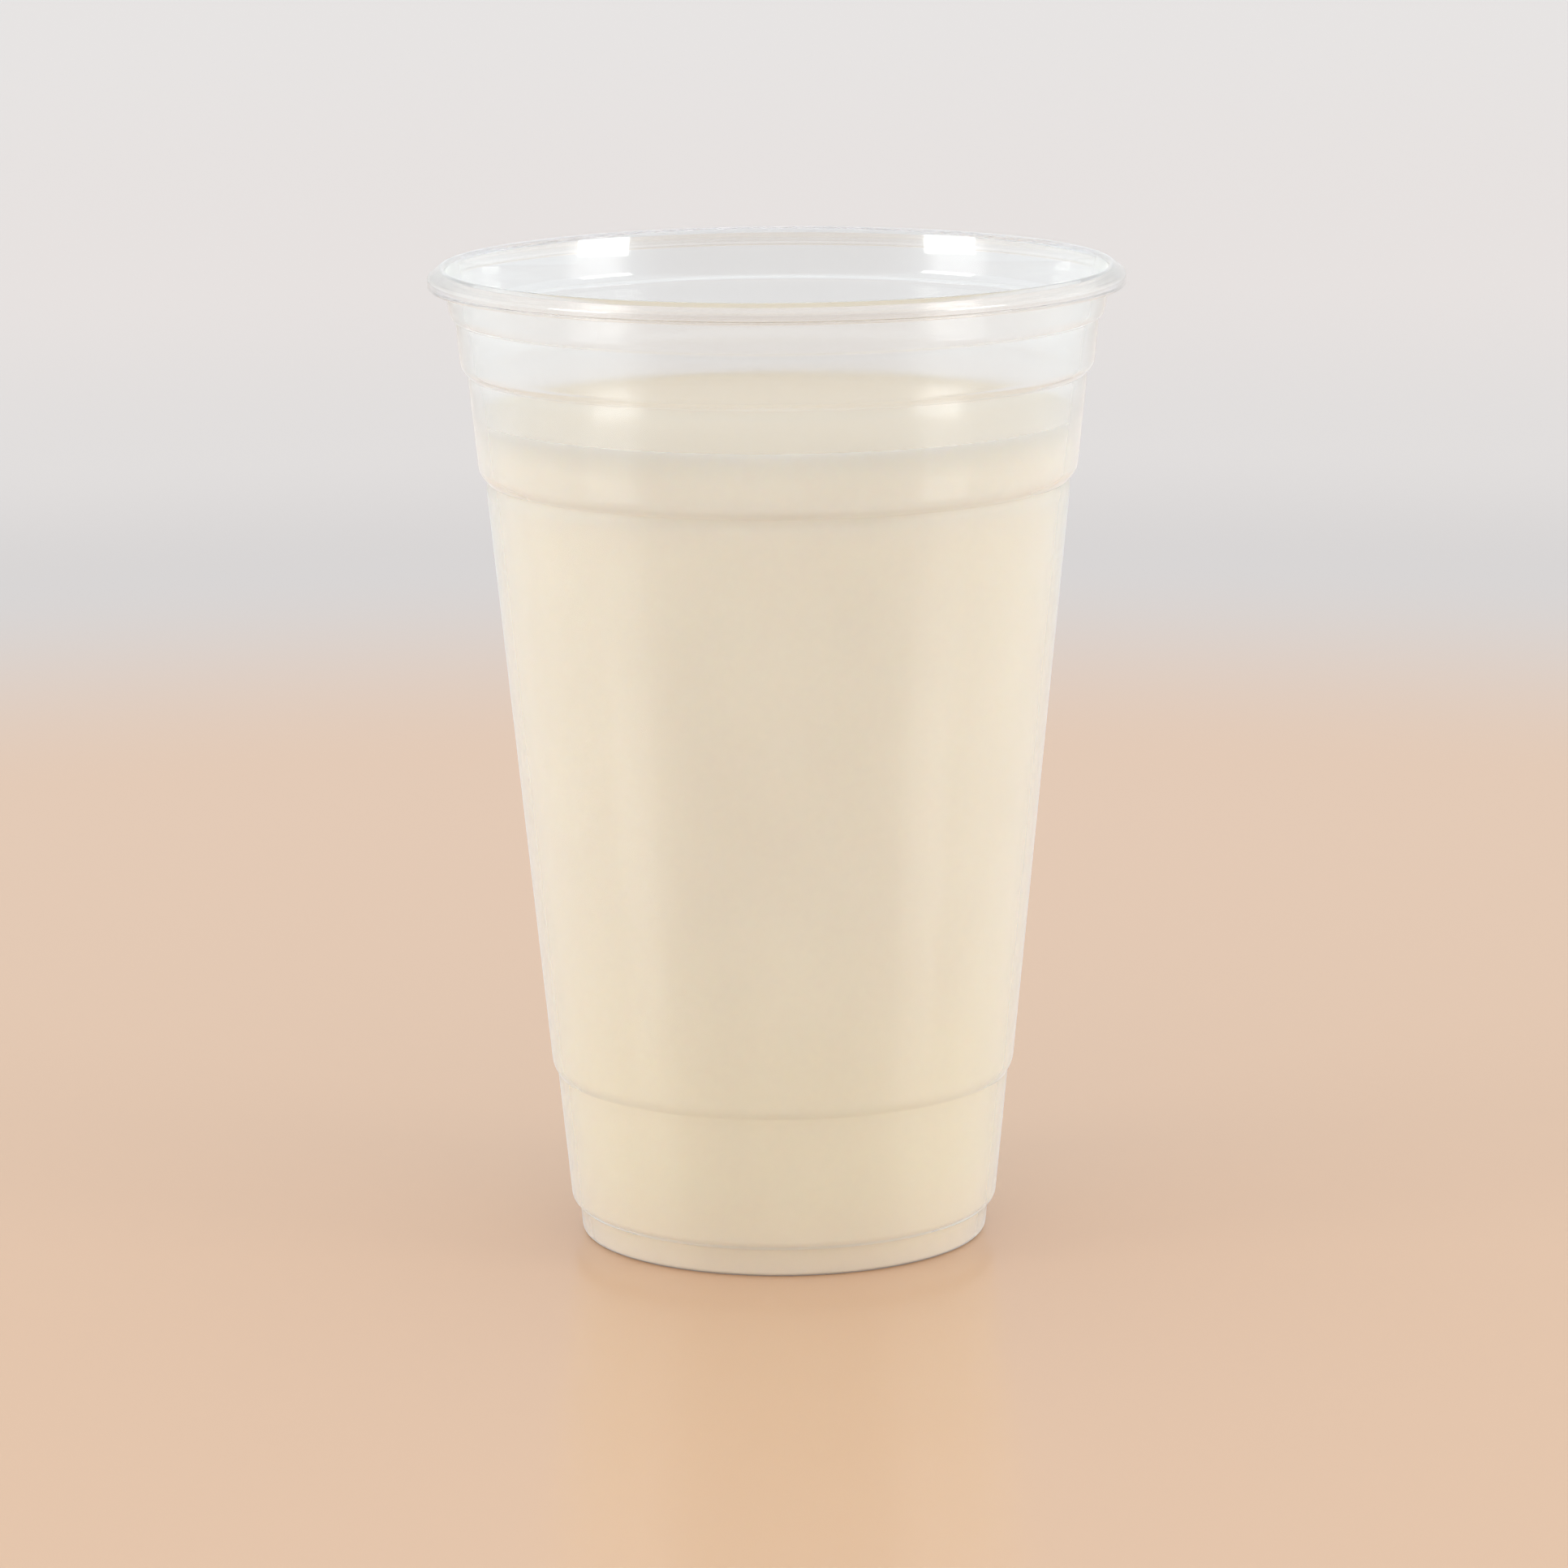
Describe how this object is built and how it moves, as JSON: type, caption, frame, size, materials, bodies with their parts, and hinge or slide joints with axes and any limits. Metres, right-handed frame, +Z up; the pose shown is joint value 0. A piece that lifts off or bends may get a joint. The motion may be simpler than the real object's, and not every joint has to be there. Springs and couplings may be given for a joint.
{
  "type": "cup of lemonade",
  "caption": "Clear tapered plastic cup with a rolled lip, stepped rings near the rim and a narrow foot, filled with cloudy pale lemonade to drink.",
  "frame": {"origin": "centre of the foot, on the surface that the cup stands on", "axes": "+Z up along the cup's axis, out of its mouth; the cup looks the same from every side"},
  "size_m": [0.098, 0.098, 0.1392],
  "materials": {
    "clear_plastic": "clear glossy moulded plastic, thin and see-through",
    "lemonade": "cloudy pale cream liquid with a wet, glossy surface"
  },
  "bodies": {
    "root": {"cup": "clear_plastic", "lemonade": "lemonade"}
  },
  "joints": []
}
